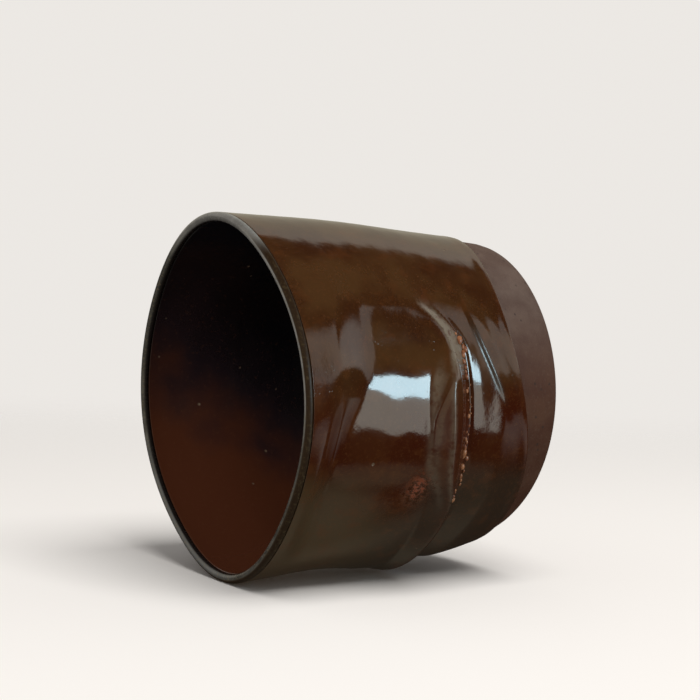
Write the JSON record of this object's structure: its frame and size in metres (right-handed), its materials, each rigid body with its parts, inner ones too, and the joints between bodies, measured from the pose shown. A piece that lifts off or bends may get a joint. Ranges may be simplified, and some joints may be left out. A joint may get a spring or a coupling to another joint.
{
  "type": "stoneware cup",
  "caption": "Handle-less thrown stoneware cup whose wall is pressed into a hollow and slumps in a thick fold over a crease, glazed inside, outside and over the lip above a bare clay foot.",
  "frame": {"origin": "middle of the flat foot that the cup stands on", "axes": "+Z out of the mouth; the pressed and folded side faces -Y; +X completes the right-handed frame"},
  "size_m": [0.0937, 0.0924, 0.078],
  "materials": {
    "bare_clay": "matt vitrified brown stoneware",
    "outer_glaze": "glossy dark amber brown iron glaze with fine pits",
    "liner_glaze": "glossy red-brown to black iron glaze",
    "rim_glaze": "thin dark grey satin glaze with khaki specks"
  },
  "bodies": {
    "root": {"clay_body": "bare_clay", "outer_glaze": "outer_glaze", "liner_glaze": "liner_glaze", "rim_glaze": "rim_glaze"}
  },
  "joints": []
}
